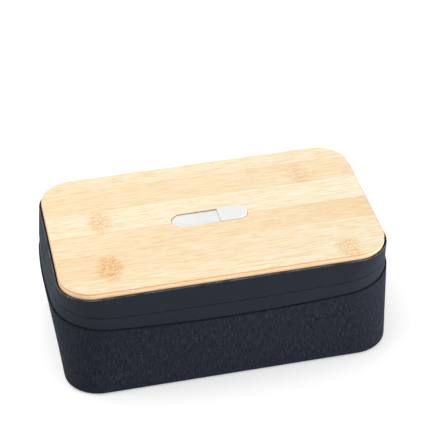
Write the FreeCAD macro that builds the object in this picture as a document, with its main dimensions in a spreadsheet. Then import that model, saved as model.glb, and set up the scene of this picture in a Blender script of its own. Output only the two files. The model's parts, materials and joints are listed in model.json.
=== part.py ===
# Ultraviolet sanitizer box with a cloth-covered base and a bamboo lid.
# Sizes are millimetres. The origin is on the floor under the middle of the box.
# X runs along the length, the front faces -Y, and Z points up.

import FreeCAD, Part
import math
import os
import re
import Sketcher

SIZES = {
    # heights of the main levels above the floor
    "total_height": 88.2,
    "lid_height": 19.8,
    "parting_gap": 0.4,
    "collar_height": 10.2,
    "skirt_clearance": 0.6,
    # bamboo panel
    "panel_corner_radius": 24.0,
    "panel_thickness": 6.0,
    "panel_proud": 4.0,
    "panel_gap": 0.8,
    "panel_edge_round": 0.8,
    # lid frame and its inner cover
    "frame_slope": 3.5,
    "crown_lip": 1.9,
    "crown_edge_bevel": 0.5,
    "frame_wall": 2.4,
    "frame_top": 2.2,
    "cover_thickness": 1.5,
    "cover_rise": 0.2,
    "cover_inset": 3.6,
    "cover_post_radius": 3.2,
    "cover_screw_inset": 23.0,
    # outline of the parting line: half sizes, corner and the two side bows
    "parting_half_length": 120.4,
    "parting_half_width": 74.8,
    "parting_corner_radius": 41.0,
    "parting_long_bow": 2270.0,
    "parting_short_bow": 880.0,
    # outline of the top edge of the cloth
    "collar_slope": 2.4,
    "rim_corner_radius": 42.0,
    "rim_long_bow": 870.0,
    "rim_short_bow": 345.0,
    # outline of the foot of the cloth
    "foot_draw": 3.1,
    "foot_corner_radius": 26.0,
    # cloth sleeve and moulded shell of the base
    "sleeve_thickness": 1.2,
    "sleeve_gap": 0.2,
    "sleeve_drop": 0.8,
    "sleeve_edge_round": 2.0,
    "hem_width": 14.0,
    "shell_wall": 2.4,
    "rib_thickness": 2.0,
    "rib_end_round": 0.5,
    "rib_spacing": 44.0,
    "boss_radius": 3.4,
    "boss_depth": 30.0,
    # collar
    "collar_ledge": 1.0,
    "collar_wall": 2.4,
    "collar_top": 2.4,
    "collar_lip": 2.4,
    "collar_lip_depth": 6.0,
    # aluminium chamber
    "mouth_inset": 16.3,
    "mouth_corner_radius": 22.0,
    "liner_draft": 4.0,
    "liner_thickness": 1.0,
    "liner_floor_height": 8.0,
    "liner_edge_round": 6.0,
    "liner_flange": 2.4,
    "liner_gap": 0.4,
    # seal
    "seal_offset": 5.0,
    "seal_width": 2.4,
    "seal_height": 2.0,
    "seal_side_gap": 0.15,
    "seal_rise": 0.4,
    "seal_margin": 0.4,
    # bottom cover, feet
    "plate_thickness": 1.6,
    "plate_gap": 0.5,
    "foot_radius": 7.0,
    "foot_thickness": 1.2,
    "foot_edge_bevel": 0.4,
    "foot_inset": 30.0,
    # screws
    "screw_radius": 1.25,
    "screw_head_radius": 2.6,
    "screw_head_height": 0.8,
    "screw_length": 7.0,
    "driver_length": 2.8,
    "driver_width": 0.8,
    "driver_corner_radius": 0.2,
    "driver_depth": 0.5,
    "pilot_gap": 0.05,
    "passage_gap": 0.4,
    "head_gap": 0.3,
    "collar_screw_head_height": 1.8,
    "collar_screw_length": 20.0,
    "collar_screw_inset": 50.4,
    "base_screw_from_foot": 29.0,
    "base_screw_inset": 27.4,
    # hinge at the back
    "hinge_offset": 0.1,
    "hinge_length": 90.0,
    "hinge_middle_length": 43.6,
    "knuckle_radius": 2.5,
    "knuckle_clearance": 0.4,
    "pin_radius": 1.2,
    "pin_press_gap": 0.02,
    "pin_running_gap": 0.05,
    "pin_recess": 0.5,
    # magnets and lid switch
    "magnet_radius": 2.5,
    "magnet_height": 2.0,
    "magnet_pocket": 1.4,
    "magnet_gap": 0.1,
    "magnet_across": 40.0,
    "reed_length": 14.0,
    "reed_width": 3.0,
    "reed_height": 2.6,
    # slot with light bar and button
    "slot_length": 55.5,
    "slot_width": 15.8,
    "button_length": 21.0,
    "button_split_gap": 0.2,
    "slot_piece_gap": 0.35,
    "light_sink": 0.8,
    "button_rise": 1.4,
    "button_crown_round": 0.6,
    "flange_width": 2.0,
    "flange_thickness": 1.2,
    "button_travel": 0.8,
    "button_flange_gap": 0.4,
    # control board
    "board_thickness": 1.6,
    "board_length": 70.0,
    "board_width": 26.0,
    "board_hang": 5.2,
    "board_post_radius": 2.0,
    "board_post_margin": 2.5,
    "switch_width": 6.0,
    "switch_corner_radius": 0.6,
    "switch_height": 2.2,
    "plunger_radius": 1.7,
    "plunger_gap": 0.35,
    "plunger_stop_gap": 0.2,
    "status_led_length": 3.0,
    "status_led_width": 1.6,
    "status_led_height": 0.8,
    "status_led_spacing": 9.0,
    # battery and charging inlet
    "battery_height": 6.0,
    "battery_board_gap": 5.0,
    "battery_end_inset": 20.4,
    "battery_strip_gap": 2.4,
    "battery_edge_round": 1.5,
    "power_board_length": 26.0,
    "power_board_width": 20.0,
    "inlet_inset": 45.4,
    "power_board_inset": 16.8,
    "inlet_width": 9.0,
    "inlet_height": 3.2,
    "inlet_depth": 8.0,
    "inlet_wall": 0.4,
    "inlet_gap": 0.3,
    "inlet_sink": 0.8,
    # ultraviolet strips
    "strip_place_share": 0.4,
    "strip_length": 150.0,
    "strip_width": 14.0,
    "strip_hang": 3.2,
    "strip_post_radius": 2.5,
    "strip_post_spacing": 60.0,
    "window_border": 3.0,
    "window_thickness": 1.5,
    "window_corner_radius": 3.0,
    "uv_led_size": 3.5,
    "uv_led_height": 1.2,
    "uv_led_spacing": 26.0,
    # extra length of every cut that leaves a part, and how near an edge lies to its level
    "overrun": 1.0,
    "edge_nearness": 0.01,
}
# Sizes that follow from the ones above
DERIVED = {
    # outlines, all drawn from the parting line
    "rim_half_length": "parting_half_length + collar_slope",
    "rim_half_width": "parting_half_width + collar_slope",
    "foot_half_length": "parting_half_length - foot_draw",
    "foot_half_width": "parting_half_width - foot_draw",
    "mouth_half_length": "parting_half_length - mouth_inset",
    "mouth_half_width": "parting_half_width - mouth_inset",
    "crown_half_length": "parting_half_length - frame_slope",
    "crown_half_width": "parting_half_width - frame_slope",
    "crown_corner_radius": "panel_corner_radius + crown_lip",
    "panel_half_length": "crown_half_length - crown_lip",
    "panel_half_width": "crown_half_width - crown_lip",
    # levels above the floor
    "parting_height": "total_height - lid_height",
    "rim_height": "parting_height - collar_height",
    "lid_bottom": "parting_height + parting_gap / 2",
    "base_top": "parting_height - parting_gap / 2",
    "collar_ceiling": "base_top - collar_top",
    "shell_bottom": "skirt_clearance + sleeve_thickness + sleeve_gap",
    "shell_floor": "shell_bottom + shell_wall",
    "plate_bottom": "shell_bottom - plate_thickness",
    "panel_floor": "total_height - panel_thickness",
    "crown_height": "total_height - panel_proud",
    "lid_ceiling": "panel_floor - frame_top",
    "cover_bottom": "lid_bottom + cover_rise",
    "cover_top": "cover_bottom + cover_thickness",
    "board_top": "lid_ceiling - board_hang",
    "strip_bottom": "lid_ceiling - strip_hang - board_thickness",
    "flange_bottom": "lid_ceiling - button_flange_gap - flange_thickness",
    "plunger_height": "flange_bottom - board_top - button_travel - plunger_stop_gap",
    # places of screws, magnets and feet
    "groove_reach": "seal_offset + seal_width / 2 + seal_side_gap",
    "collar_screw_reach": "groove_reach + seal_margin + screw_head_radius + head_gap",
    "collar_screw_along": "mouth_half_width + collar_screw_reach",
    "collar_screw_end": "mouth_half_length + collar_screw_reach",
    "collar_screw_across": "parting_half_length - collar_screw_inset",
    "magnet_along": "mouth_half_width + groove_reach + seal_margin + magnet_radius + magnet_gap",
    "cover_screw_across": "parting_half_length - cover_screw_inset",
    "cover_screw_along": "parting_half_width - cover_screw_inset",
    "foot_across": "foot_half_length - foot_inset",
    "foot_along": "foot_half_width - foot_inset",
    "base_screw_across": "foot_across - base_screw_from_foot",
    "base_screw_along": "foot_half_width - base_screw_inset",
    # hinge, controls, power and lamps
    "hinge_along": "parting_half_width + hinge_offset",
    "button_left": "slot_length / 2 - button_length",
    "switch_across": "slot_length / 2 - button_length / 2",
    "strip_along": "parting_half_width * strip_place_share",
    "battery_length": "parting_half_length - battery_end_inset - board_length / 2 - battery_board_gap",
    "battery_width": "2 * (strip_along - strip_width / 2 - battery_strip_gap)",
    "battery_across": "board_length / 2 + battery_board_gap + battery_length / 2",
    "inlet_across": "parting_half_length - inlet_inset",
    "power_board_along": "parting_half_width - power_board_inset",
}

UV_LEDS_PER_STRIP = 6
STATUS_LEDS = 3
RIBS_PER_SIDE = 2
ROUNDING_STEPS = 3

document = FreeCAD.newDocument("uv_box")
sheet = document.addObject("Spreadsheet::Sheet", "sizes")
formulas = {alias: "=" + words for alias, words in DERIVED.items()}
for row, (alias, entry) in enumerate({**SIZES, **formulas}.items(), start=1):
    sheet.set("A%d" % row, alias)
    sheet.set("B%d" % row, str(entry))
    sheet.setAlias("B%d" % row, alias)
document.recompute()


def rule(words):
    """Point the size names in a formula at the sheet."""
    def refer(found):
        word = found.group()
        return "sizes." + word if word in SIZES or word in DERIVED else word
    return re.sub(r"[a-z_]+", refer, words)


def value(words):
    return float(sheet.evalExpression(rule(words)))


def bind(thing, prop, words):
    thing.setExpression(prop, rule(words))


def negative(words):
    return "-(%s)" % words


# Bodies, sketches and features

def new_body(name):
    body = document.addObject("PartDesign::Body", name)
    body.Label = name
    body.AllowCompound = True
    return body


def level(body, height, role="XY_Plane"):
    """A sketch on one of the body's own planes, moved along its normal."""
    sketch = body.newObject("Sketcher::SketchObject", "outline")
    plane = next(item for item in body.Origin.OriginFeatures if item.Role == role)
    sketch.AttachmentSupport = [(plane, "")]
    sketch.MapMode = "FlatFace"
    bind(sketch, "AttachmentOffset.Base.z", height)
    return sketch


def hold(sketch, kind, where, words):
    """Add one constraint and bind its size to a formula."""
    index = sketch.addConstraint(Sketcher.Constraint(kind, *where, value(words)))
    sketch.setExpression("Constraints[%d]" % index, rule(words))


def hold_point(sketch, item, point, across, along):
    """Fix a point at a signed distance from the sketch's origin."""
    for kind, axis, words in (("DistanceX", -2, across), ("DistanceY", -1, along)):
        amount = value(words)
        if amount == 0:
            sketch.addConstraint(Sketcher.Constraint("PointOnObject", item, point, axis))
        elif amount > 0:
            hold(sketch, kind, (-1, 1, item, point), words)
        else:
            hold(sketch, kind, (item, point, -1, 1), negative(words))


def arc(centre, radius, start, end):
    circle = Part.Circle(FreeCAD.Vector(*centre, 0), FreeCAD.Vector(0, 0, 1), radius)
    return Part.ArcOfCircle(circle, start, end)


def line(start, end):
    return Part.LineSegment(FreeCAD.Vector(*start, 0), FreeCAD.Vector(*end, 0))


def join(sketch, items, kinds):
    """Close a loop, tangent or coincident from each item to the next."""
    for item, following, kind in zip(items, items[1:] + items[:1], kinds):
        sketch.addConstraint(Sketcher.Constraint(kind, item, 2, following, 1))


def bowed_loop(sketch, outline, inset="0"):
    """Four bowed sides and four round corners, all tangent."""
    half_length = "%s_half_length - (%s)" % (outline, inset)
    half_width = "%s_half_width - (%s)" % (outline, inset)
    corner = "%s_corner_radius - (%s)" % (outline, inset)
    long_bow = "%s_long_bow - (%s)" % (outline, inset)
    short_bow = "%s_short_bow - (%s)" % (outline, inset)
    radius, long_radius, short_radius = value(corner), value(long_bow), value(short_bow)
    end_centre = FreeCAD.Vector(value(half_length) - short_radius, 0, 0)
    side_centre = FreeCAD.Vector(0, value(half_width) - long_radius, 0)
    # the corner's centre lies where the two sides, drawn in by its radius, meet
    to_end, to_side = short_radius - radius, long_radius - radius
    span = side_centre - end_centre
    apart = span.Length
    along = (to_end ** 2 - to_side ** 2 + apart ** 2) / (2 * apart)
    aside = math.sqrt(to_end ** 2 - along ** 2)
    span.normalize()
    normal = FreeCAD.Vector(-span.y, span.x, 0)
    corner_centre = end_centre + span * along + normal * aside
    first = math.atan2(corner_centre.y - end_centre.y, corner_centre.x - end_centre.x)
    second = math.atan2(corner_centre.y - side_centre.y, corner_centre.x - side_centre.x)
    right, up = corner_centre.x, corner_centre.y
    turn = math.pi
    arcs = (
        arc((end_centre.x, 0), short_radius, -first, first),
        arc((right, up), radius, first, second),
        arc((0, side_centre.y), long_radius, second, turn - second),
        arc((-right, up), radius, turn - second, turn - first),
        arc((-end_centre.x, 0), short_radius, turn - first, turn + first),
        arc((-right, -up), radius, turn + first, turn + second),
        arc((0, -side_centre.y), long_radius, turn + second, -second),
        arc((right, -up), radius, -second, -first),
    )
    items = [sketch.addGeometry(item) for item in arcs]
    join(sketch, items, ["Tangent"] * len(items))
    for end in (items[0], items[4]):
        sketch.addConstraint(Sketcher.Constraint("PointOnObject", end, 3, -1))
        hold(sketch, "Radius", (end,), short_bow)
    for side in (items[2], items[6]):
        sketch.addConstraint(Sketcher.Constraint("PointOnObject", side, 3, -2))
        hold(sketch, "Radius", (side,), long_bow)
    for item in items[1::2]:
        hold(sketch, "Radius", (item,), corner)
    end_reach = "(%s) - (%s)" % (short_bow, half_length)
    side_reach = "(%s) - (%s)" % (long_bow, half_width)
    hold(sketch, "DistanceX", (items[0], 3, -1, 1), end_reach)
    hold(sketch, "DistanceX", (-1, 1, items[4], 3), end_reach)
    hold(sketch, "DistanceY", (items[2], 3, -1, 1), side_reach)
    hold(sketch, "DistanceY", (-1, 1, items[6], 3), side_reach)


def straight_loop(sketch, half_length, half_width, corner, across="0", along="0"):
    """A rectangle with round corners, its items in the order of the bowed loop."""
    reach, depth, radius = value(half_length), value(half_width), value(corner)
    right, up = reach - radius, depth - radius
    middle_x, middle_y = value(across), value(along)
    quarter = math.pi / 2
    pieces = []
    corners = ((1, 1), (-1, 1), (-1, -1), (1, -1))
    edges = (((reach, -up), (reach, up)), ((right, depth), (-right, depth)),
             ((-reach, up), (-reach, -up)), ((-right, -depth), (right, -depth)))
    for turn, ((side_x, side_y), (start, end)) in enumerate(zip(corners, edges)):
        ends = [(middle_x + x, middle_y + y) for x, y in (start, end)]
        pieces.append(line(*ends))
        centre = (middle_x + side_x * right, middle_y + side_y * up)
        pieces.append(arc(centre, radius, turn * quarter, (turn + 1) * quarter))
    items = [sketch.addGeometry(piece) for piece in pieces]
    join(sketch, items, ["Tangent"] * len(items))
    for upright in (items[0], items[4]):
        sketch.addConstraint(Sketcher.Constraint("Vertical", upright))
    for level_line in (items[2], items[6]):
        sketch.addConstraint(Sketcher.Constraint("Horizontal", level_line))
    hold(sketch, "Radius", (items[1],), corner)
    for item in items[3::2]:
        sketch.addConstraint(Sketcher.Constraint("Equal", items[1], item))
    inner_length = "(%s) - (%s)" % (half_length, corner)
    inner_width = "(%s) - (%s)" % (half_width, corner)
    for item, sign in ((items[1], "+"), (items[5], "-")):
        hold_point(sketch, item, 3, "(%s) %s (%s)" % (across, sign, inner_length),
                   "(%s) %s (%s)" % (along, sign, inner_width))


def outline_loop(sketch, outline, inset="0"):
    """One of the box's named outlines, drawn in by an inset."""
    if outline + "_long_bow" in SIZES:
        bowed_loop(sketch, outline, inset)
        return
    half_length = "%s_half_length - (%s)" % (outline, inset)
    half_width = "%s_half_width - (%s)" % (outline, inset)
    straight_loop(sketch, half_length, half_width, "%s_corner_radius - (%s)" % (outline, inset))


def slot_loop(sketch, left, right, half_width, round_left=True, round_right=True):
    """A slot along X whose ends are round or flat."""
    low, high, half = value(left), value(right), value(half_width)
    start = low + half if round_left else low
    end = high - half if round_right else high
    quarter = math.pi / 2
    items = [sketch.addGeometry(line((start, -half), (end, -half)))]
    if round_right:
        items.append(sketch.addGeometry(arc((end, 0), half, -quarter, quarter)))
    else:
        items.append(sketch.addGeometry(line((end, -half), (end, half))))
    items.append(sketch.addGeometry(line((end, half), (start, half))))
    if round_left:
        items.append(sketch.addGeometry(arc((start, 0), half, quarter, 3 * quarter)))
    else:
        items.append(sketch.addGeometry(line((start, half), (start, -half))))
    right_kind = "Tangent" if round_right else "Coincident"
    left_kind = "Tangent" if round_left else "Coincident"
    join(sketch, items, [right_kind, right_kind, left_kind, left_kind])
    for side in (items[0], items[2]):
        sketch.addConstraint(Sketcher.Constraint("Horizontal", side))
    start_words = "(%s) + (%s)" % (left, half_width) if round_left else left
    end_words = "(%s) - (%s)" % (right, half_width) if round_right else right
    hold_point(sketch, items[0], 1, start_words, negative(half_width))
    hold_point(sketch, items[2], 1, end_words, half_width)
    for item, is_round in ((items[1], round_right), (items[3], round_left)):
        if not is_round:
            sketch.addConstraint(Sketcher.Constraint("Vertical", item))


def circles(sketch, places, radius):
    """One circle at each place, all bound to one radius."""
    for across, along in places:
        centre = FreeCAD.Vector(value(across), value(along), 0)
        item = sketch.addGeometry(Part.Circle(centre, FreeCAD.Vector(0, 0, 1), value(radius)))
        hold(sketch, "Radius", (item,), radius)
        hold_point(sketch, item, 3, across, along)


def extrude(body, kind, sketch, length, reverse=False):
    feature = body.newObject("PartDesign::" + kind, kind.lower())
    feature.Profile = sketch
    bind(feature, "Length", length)
    feature.Reversed = reverse
    document.recompute()
    return feature


def pad(body, sketch, length, reverse=False):
    return extrude(body, "Pad", sketch, length, reverse)


def pocket(body, sketch, length, reverse=False):
    return extrude(body, "Pocket", sketch, length, reverse)


def loft(body, kind, sections):
    feature = body.newObject("PartDesign::" + kind, kind.lower())
    feature.Profile = sections[0]
    feature.Sections = sections[1:]
    feature.Ruled = True
    document.recompute()
    return feature


def edges_at(feature, height, keep=lambda box: True):
    """Names of the level edges at one height that pass a test on their box."""
    names = []
    near = value("edge_nearness")
    for index, edge in enumerate(feature.Shape.Edges, start=1):
        box = edge.BoundBox
        flat = abs(box.ZMin - value(height)) < near and abs(box.ZMax - value(height)) < near
        if flat and keep(box):
            names.append("Edge%d" % index)
    return names


def fillet(body, feature, names, radius):
    rounding = body.newObject("PartDesign::Fillet", "fillet")
    rounding.Base = (feature, names)
    bind(rounding, "Radius", radius)
    document.recompute()


def chamfer(body, feature, names, size):
    bevel = body.newObject("PartDesign::Chamfer", "chamfer")
    bevel.Base = (feature, names)
    bind(bevel, "Size", size)
    document.recompute()


def cut(name, base, tool):
    result = document.addObject("Part::Cut", name)
    result.Label = name
    result.Base = base
    result.Tool = tool
    document.recompute()
    return result


def block(name, length, width, height, across, along, bottom):
    """A box centred on a place, standing on a level."""
    box = document.addObject("Part::Box", name)
    box.Label = name
    for prop, words in (("Length", length), ("Width", width), ("Height", height)):
        bind(box, prop, words)
    bind(box, "Placement.Base.x", "(%s) - (%s) / 2" % (across, length))
    bind(box, "Placement.Base.y", "(%s) - (%s) / 2" % (along, width))
    bind(box, "Placement.Base.z", bottom)
    return box


def group(name, members):
    compound = document.addObject("Part::Compound", name)
    compound.Label = name
    compound.Links = members
    return compound


def four_places(across, along):
    return [(x, y) for x in (across, negative(across)) for y in (along, negative(along))]


# Base: tub forms shared by the cloth sleeve, the moulded shell and the chamber

def tub_form(name, lower, upper, bottom, top, edge_round):
    """Solid between two outlines, each with its inset, its lower edge rounded in steps."""
    body = new_body(name)
    sections = []
    for step in range(ROUNDING_STEPS + 1):
        angle = math.pi / 2 * step / ROUNDING_STEPS
        rise_share = 1 - math.cos(angle)
        inset_share = 1 - math.sin(angle)
        section = level(body, "%s + %.6f * (%s)" % (bottom, rise_share, edge_round))
        outline_loop(section, lower[0], "%s + %.6f * (%s)" % (lower[1], inset_share, edge_round))
        sections.append(section)
    section = level(body, top)
    outline_loop(section, *upper)
    loft(body, "AdditiveLoft", sections + [section])
    return body


def make_fabric_sleeve():
    top = "rim_height - sleeve_drop"
    bottom = "skirt_clearance + sleeve_thickness"
    inner_round = "sleeve_edge_round - sleeve_thickness"
    outside = tub_form("sleeve_outside", ("foot", "0"), ("rim", "0"),
                       "skirt_clearance", top, "sleeve_edge_round")
    inside = tub_form("sleeve_inside", ("foot", "sleeve_thickness"), ("rim", "sleeve_thickness"),
                      bottom, top, inner_round)
    # the cloth is turned under and stops at the bottom cover
    opening = level(inside, bottom)
    outline_loop(opening, "foot", "hem_width")
    pad(inside, opening, "sleeve_thickness + overrun", reverse=True)
    return cut("fabric_sleeve", outside, inside)


def collar_screw_places():
    ends = [("collar_screw_end", "0"), (negative("collar_screw_end"), "0")]
    return four_places("collar_screw_across", "collar_screw_along") + ends


def make_base_shell():
    inset = "sleeve_thickness + sleeve_gap"
    round_words = "sleeve_edge_round - sleeve_thickness - sleeve_gap"
    body = tub_form("base_shell", ("foot", inset), ("rim", inset), "shell_bottom", "rim_height", round_words)
    lower = level(body, "shell_floor")
    outline_loop(lower, "foot", inset + " + shell_wall")
    upper = level(body, "rim_height")
    outline_loop(upper, "rim", inset + " + shell_wall")
    loft(body, "SubtractiveLoft", [lower, upper])
    # ribs under the chamber
    rib_height = "liner_floor_height - shell_floor"
    for index in range(-RIBS_PER_SIDE, RIBS_PER_SIDE + 1):
        rib = level(body, "shell_floor")
        across = "%d * rib_spacing" % index
        straight_loop(rib, "rib_thickness / 2", "foot_half_width - hem_width", "rib_end_round", across)
        pad(body, rib, rib_height)
    # bosses for the collar screws and for the screws of the bottom cover
    bosses = level(body, "rim_height")
    circles(bosses, collar_screw_places(), "boss_radius")
    pad(body, bosses, "boss_depth", reverse=True)
    pilots = level(body, "rim_height")
    circles(pilots, collar_screw_places(), "screw_radius + pilot_gap")
    pocket(body, pilots, "boss_depth - shell_wall")
    base_places = four_places("base_screw_across", "base_screw_along")
    studs = level(body, "shell_floor")
    circles(studs, base_places, "boss_radius")
    pad(body, studs, "(%s) - liner_gap" % rib_height)
    holes = level(body, "shell_bottom")
    circles(holes, base_places, "screw_radius + pilot_gap")
    pocket(body, holes, "screw_length", reverse=True)
    return body


def make_base_plate():
    body = new_body("base_plate")
    edge = level(body, "plate_bottom")
    outline_loop(edge, "foot", "hem_width + plate_gap")
    pad(body, edge, "plate_thickness")
    base_places = four_places("base_screw_across", "base_screw_along")
    heads = level(body, "plate_bottom")
    circles(heads, base_places, "screw_head_radius + head_gap")
    pocket(body, heads, "screw_head_height", reverse=True)
    holes = level(body, "plate_bottom")
    circles(holes, base_places, "screw_radius + passage_gap")
    pocket(body, holes, "plate_thickness + overrun", reverse=True)
    seats = level(body, "plate_bottom")
    circles(seats, four_places("foot_across", "foot_along"), "foot_radius + head_gap")
    pocket(body, seats, "foot_thickness - plate_bottom", reverse=True)
    return body


def make_rubber_feet():
    body = new_body("rubber_feet")
    pads = level(body, "0")
    circles(pads, four_places("foot_across", "foot_along"), "foot_radius")
    feet = pad(body, pads, "foot_thickness")
    chamfer(body, feet, edges_at(feet, "0"), "foot_edge_bevel")
    return body


def make_screws(name, places, seat, head_radius, head_height, length, upward):
    """Screws whose heads lie against a seat and whose shanks run up or down from it."""
    body = new_body(name)
    heads = level(body, seat)
    circles(heads, places, head_radius)
    pad(body, heads, head_height, reverse=upward)
    shanks = level(body, seat)
    circles(shanks, places, "screw_radius")
    pad(body, shanks, length, reverse=not upward)
    # cross recess for the driver
    face = "%s %s %s" % (seat, "-" if upward else "+", head_height)
    for arm, other in (("driver_length", "driver_width"), ("driver_width", "driver_length")):
        recess = level(body, face)
        for across, along in places:
            straight_loop(recess, "%s / 2" % arm, "%s / 2" % other, "driver_corner_radius", across, along)
        pocket(body, recess, "driver_depth", reverse=upward)
    return body


def make_base_screws():
    seat = "plate_bottom + screw_head_height"
    length = "screw_length - plate_thickness + screw_head_height - overrun"
    return make_screws("base_screws", four_places("base_screw_across", "base_screw_along"), seat,
                       "screw_head_radius", "screw_head_height", length, upward=True)


# Collar on the base, with the outer knuckles of the hinge

def knuckle_ends():
    """Start and length of the two outer knuckles along X."""
    outer = "(hinge_length - hinge_middle_length) / 2 - knuckle_clearance"
    right_start = "hinge_middle_length / 2 + knuckle_clearance"
    left_start = "-hinge_length / 2"
    return [(left_start, outer), (right_start, outer)]


def rod(body, kind, start, length, radius):
    """Pad or pocket a round bar along the hinge axis."""
    section = level(body, start, "YZ_Plane")
    circles(section, [("hinge_along", "parting_height")], radius)
    return extrude(body, kind, section, length, reverse=(kind == "Pocket"))


def make_rim_collar():
    body = new_body("rim_collar")
    lower = level(body, "rim_height")
    outline_loop(lower, "rim", "collar_ledge")
    upper = level(body, "base_top")
    outline_loop(upper, "parting")
    loft(body, "AdditiveLoft", [lower, upper])
    hollow_lower = level(body, "rim_height")
    outline_loop(hollow_lower, "rim", "collar_ledge + collar_wall")
    hollow_upper = level(body, "collar_ceiling")
    outline_loop(hollow_upper, "parting", "collar_wall")
    loft(body, "SubtractiveLoft", [hollow_lower, hollow_upper])
    # posts that carry the screws, and a stiffening lip round the mouth
    posts = level(body, "rim_height")
    circles(posts, collar_screw_places(), "boss_radius")
    pad(body, posts, "collar_ceiling - rim_height + collar_top / 2")
    lip = level(body, "collar_ceiling - collar_lip_depth")
    spread = "liner_gap + collar_lip"
    outline_loop(lip, "mouth", "-(%s)" % spread)
    pad(body, lip, "collar_lip_depth + collar_top / 2")
    # mouth, seat of the chamber's flange and groove of the seal
    mouth = level(body, "base_top")
    outline_loop(mouth, "mouth", "-liner_gap")
    pocket(body, mouth, "collar_top + collar_lip_depth + overrun")
    seat = level(body, "base_top")
    outline_loop(seat, "mouth", "-liner_flange - liner_gap")
    pocket(body, seat, "liner_thickness")
    groove = level(body, "base_top")
    half = "seal_width / 2 + seal_side_gap"
    outline_loop(groove, "mouth", "-seal_offset - (%s)" % half)
    outline_loop(groove, "mouth", "-seal_offset + %s" % half)
    pocket(body, groove, "seal_height - seal_rise")
    # screws and magnets
    heads = level(body, "base_top")
    circles(heads, collar_screw_places(), "screw_head_radius + head_gap")
    pocket(body, heads, "collar_screw_head_height")
    holes = level(body, "base_top")
    circles(holes, collar_screw_places(), "screw_radius + passage_gap")
    pocket(body, holes, "base_top - rim_height + overrun")
    magnets = level(body, "collar_ceiling")
    circles(magnets, magnet_places() + interlock_place(), "magnet_radius + magnet_gap")
    pocket(body, magnets, "magnet_pocket", reverse=True)
    # room for the middle knuckle, then the two outer knuckles with their bore
    rod(body, "Pocket", "-hinge_middle_length / 2 - knuckle_clearance",
        "hinge_middle_length + 2 * knuckle_clearance", "knuckle_radius + knuckle_clearance")
    for start, length in knuckle_ends():
        rod(body, "Pad", start, length, "knuckle_radius")
    rod(body, "Pocket", "-hinge_length / 2", "hinge_length + overrun", "pin_radius + pin_press_gap")
    return body


def make_collar_screws():
    seat = "base_top - collar_screw_head_height"
    return make_screws("collar_screws", collar_screw_places(), seat, "screw_head_radius",
                       "collar_screw_head_height", "collar_screw_length", upward=False)


def make_hinge_pin():
    body = new_body("hinge_pin")
    rod(body, "Pad", "pin_recess - hinge_length / 2", "hinge_length - 2 * pin_recess", "pin_radius")
    return body


def make_lid_seal():
    body = new_body("lid_seal")
    ring = level(body, "base_top - seal_height + seal_rise")
    outline_loop(ring, "mouth", "-seal_offset - seal_width / 2")
    outline_loop(ring, "mouth", "-seal_offset + seal_width / 2")
    pad(body, ring, "seal_height")
    return body


def magnet_places():
    front = negative("magnet_along")
    return [("magnet_across", front), (negative("magnet_across"), front)]


def interlock_place():
    return [("0", negative("magnet_along"))]


def make_magnets(name, places, bottom):
    body = new_body(name)
    discs = level(body, bottom)
    circles(discs, places, "magnet_radius")
    pad(body, discs, "magnet_height")
    return body


def make_base_magnets():
    bottom = "collar_ceiling + magnet_pocket - magnet_height"
    return [make_magnets("catch_magnets", magnet_places(), bottom),
            make_magnets("interlock_magnet", interlock_place(), bottom)]


def make_chamber_liner():
    floor = "liner_floor_height + liner_thickness"
    inner_round = "liner_edge_round - liner_thickness"
    outside = tub_form("liner_outside", ("mouth", "liner_draft"), ("mouth", "0"),
                       "liner_floor_height", "base_top", "liner_edge_round")
    flange = level(outside, "base_top")
    outline_loop(flange, "mouth", "-liner_flange")
    pad(outside, flange, "liner_thickness", reverse=True)
    inside = tub_form("liner_inside", ("mouth", "liner_draft + liner_thickness"),
                      ("mouth", "liner_thickness"), floor, "base_top", inner_round)
    return cut("chamber_liner", outside, inside)


# Lid: frame, panel, inner cover

def cover_screw_places():
    middle = [("0", "cover_screw_along"), ("0", negative("cover_screw_along"))]
    return four_places("cover_screw_across", "cover_screw_along") + middle


def board_post_places():
    across = "board_length / 2 - board_post_margin"
    return four_places(across, "board_width / 2 - board_post_margin")


def power_post_places():
    places = []
    for side in ("-1", "1"):
        across = "-inlet_across + %s * (power_board_length / 2 - board_post_margin)" % side
        places.append((across, "power_board_along - power_board_width / 2 + board_post_margin"))
    return places


def strips():
    return ("strip_along", negative("strip_along"))


def strip_post_places():
    places = []
    for along in strips():
        for step in ("-1", "0", "1"):
            places.append(("%s * strip_post_spacing" % step, along))
    return places


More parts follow.
